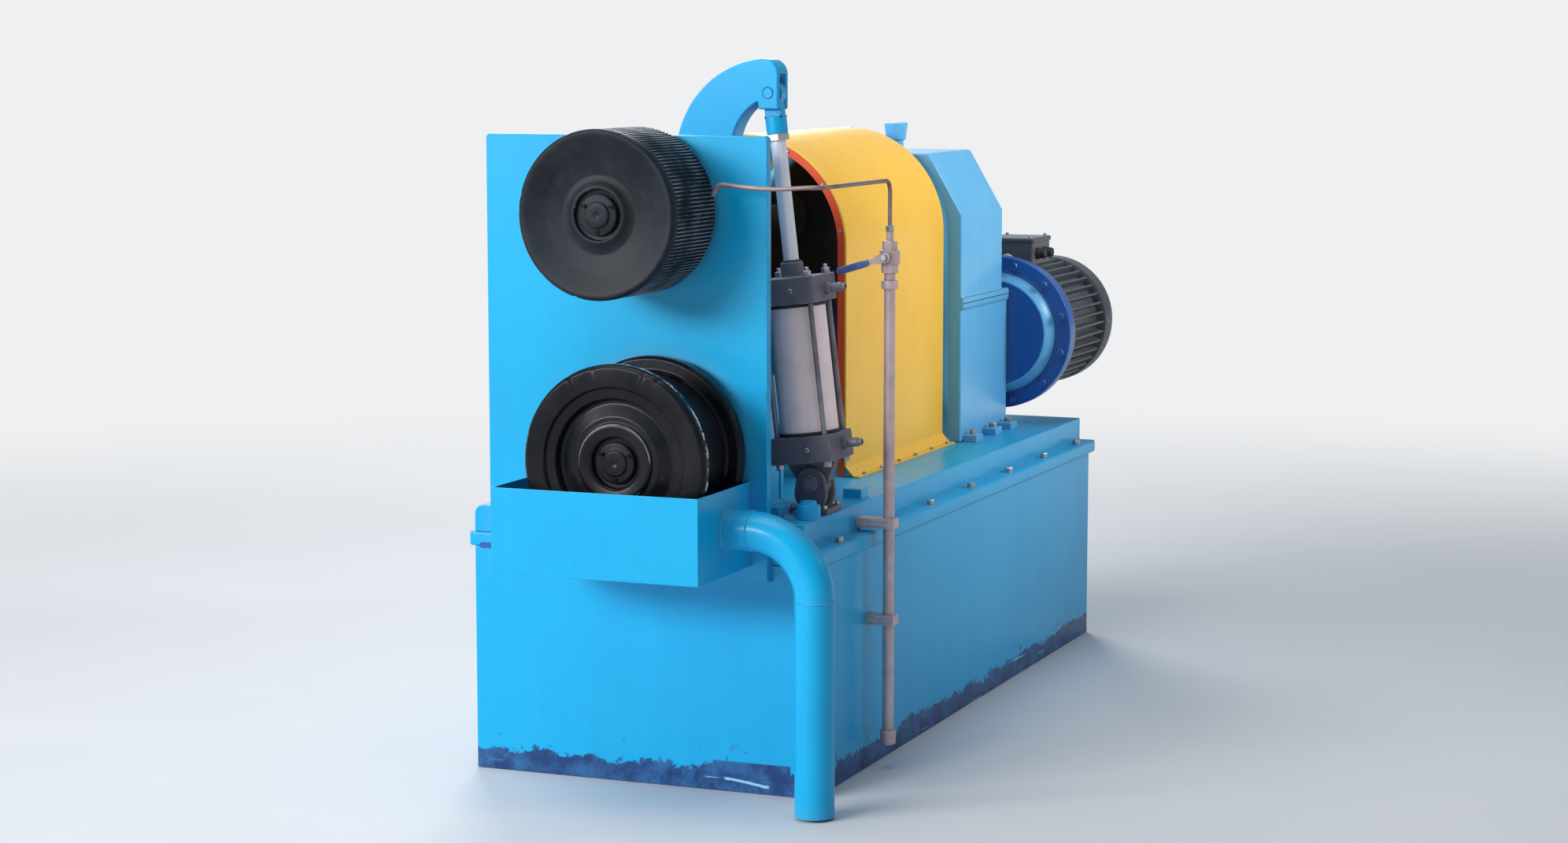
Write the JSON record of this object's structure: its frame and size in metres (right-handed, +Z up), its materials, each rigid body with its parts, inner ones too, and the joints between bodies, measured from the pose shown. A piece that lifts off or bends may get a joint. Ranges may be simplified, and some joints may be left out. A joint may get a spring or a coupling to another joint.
{
  "type": "rolling mill pinch roll stand",
  "caption": "Stand with an upper and a lower cantilevered roll, a swing arm worked by an air cylinder, and a guarded geared drive on a box base.",
  "frame": {"origin": "middle of the base box's underside, on the floor", "axes": "+X with the bar's travel, +Y from the rolls back to the motor, +Z up"},
  "size_m": [0.99, 2.855, 1.6867],
  "materials": {
    "blue_paint": "semi-gloss enamel, scuffed at the foot",
    "deep_blue_paint": "semi-gloss enamel",
    "roll_black": "scaled and oiled",
    "dark_casting": "satin",
    "motor_grey": "satin",
    "barrel_alloy": "drawn, anodised",
    "rod_chrome": "ground and chromed",
    "bright_steel": "turned",
    "guard_yellow": "semi-gloss enamel",
    "guard_orange": "semi-gloss enamel",
    "galvanised": "zinc coated, dull",
    "lever_blue": "dipped vinyl"
  },
  "bodies": {
    "root": {"base_box": "blue_paint", "base_flange": "blue_paint", "bed": "blue_paint", "front_plate": "blue_paint", "rear_plate": "blue_paint", "left_side_plate": "blue_paint", "right_rib": "blue_paint", "pivot_bearing": "blue_paint", "lower_bearing_housing": "blue_paint", "lower_bearing_cover": "blue_paint", "clevis_bracket": "dark_casting", "clevis_pin": "bright_steel", "coupling_guard": "guard_yellow", "guard_front_ring": "guard_orange", "gearbox": "blue_paint", "gearbox_vent": "blue_paint", "gearbox_seals": "deep_blue_paint", "motor_adapter": "deep_blue_paint", "motor_body": "motor_grey", "motor_fan_cover": "motor_grey", "motor_terminal_box": "motor_grey", "drip_tray": "blue_paint", "drain_pipe": "blue_paint", "water_pipe": "galvanised", "ball_valve": "galvanised", "spray_tube": "galvanised"},
    "lower_roll_set": {"lower_shaft": "bright_steel", "lower_roll": "roll_black", "lower_roll_cap": "roll_black", "lower_coupling": "dark_casting", "lower_drive_shaft": "bright_steel"},
    "upper_drive": {"upper_coupling": "dark_casting", "upper_drive_shaft": "bright_steel"},
    "arm": {"swing_arm": "blue_paint", "arm_cover": "blue_paint", "arm_fork_pin": "bright_steel"},
    "upper_roll_set": {"upper_shaft": "bright_steel", "upper_roll": "roll_black", "upper_roll_cap": "roll_black"},
    "air_cylinder": {"cylinder_end_cap": "dark_casting", "cylinder_barrel": "barrel_alloy", "cylinder_head_cap": "dark_casting", "cylinder_tie_rods": "barrel_alloy"},
    "rod": {"piston_rod": "rod_chrome", "rod_eye": "blue_paint"},
    "valve_handle": {"valve_lever": "lever_blue"}
  },
  "joints": [
    {"name": "arm_swing", "type": "hinge", "parent": "root", "child": "arm", "pos_m": [-0.258, -0.9, 1.247], "axis": [0, 1, 0], "range_deg": [0, 21.5]},
    {"name": "upper_roll_spin", "type": "hinge", "parent": "arm", "child": "upper_roll_set", "pos_m": [0.0225, -1.2, 1.344], "axis": [0, 1, 0], "continuous": true},
    {"name": "lower_roll_spin", "type": "hinge", "parent": "root", "child": "lower_roll_set", "pos_m": [0.062, -1.2, 0.793], "axis": [0, 1, 0], "continuous": true},
    {"name": "upper_drive_spin", "type": "hinge", "parent": "root", "child": "upper_drive", "pos_m": [-0.258, -0.5, 1.247], "axis": [0, 1, 0], "continuous": true},
    {"name": "cylinder_tilt", "type": "hinge", "parent": "root", "child": "air_cylinder", "pos_m": [0.356, -0.9, 0.707], "axis": [0, 1, 0], "range_deg": [0, 7]},
    {"name": "rod_slide", "type": "slide", "parent": "air_cylinder", "child": "rod", "axis": [0.117, 0, -0.9931], "range_m": [0, 0.22]},
    {"name": "valve_turn", "type": "hinge", "parent": "root", "child": "valve_handle", "pos_m": [0.484, -0.784, 1.225], "axis": [0, -1, 0], "range_deg": [-17, 73]}
  ],
  "couplings": [
    {"joint": "upper_roll_spin", "follows": "lower_roll_spin", "ratio": -0.9895},
    {"joint": "upper_drive_spin", "follows": "lower_roll_spin", "ratio": -0.9895},
    {"joint": "cylinder_tilt", "follows": "arm_swing", "ratio": 0.2875},
    {"joint": "rod_slide", "follows": "arm_swing", "m_per_rad": 0.574}
  ]
}
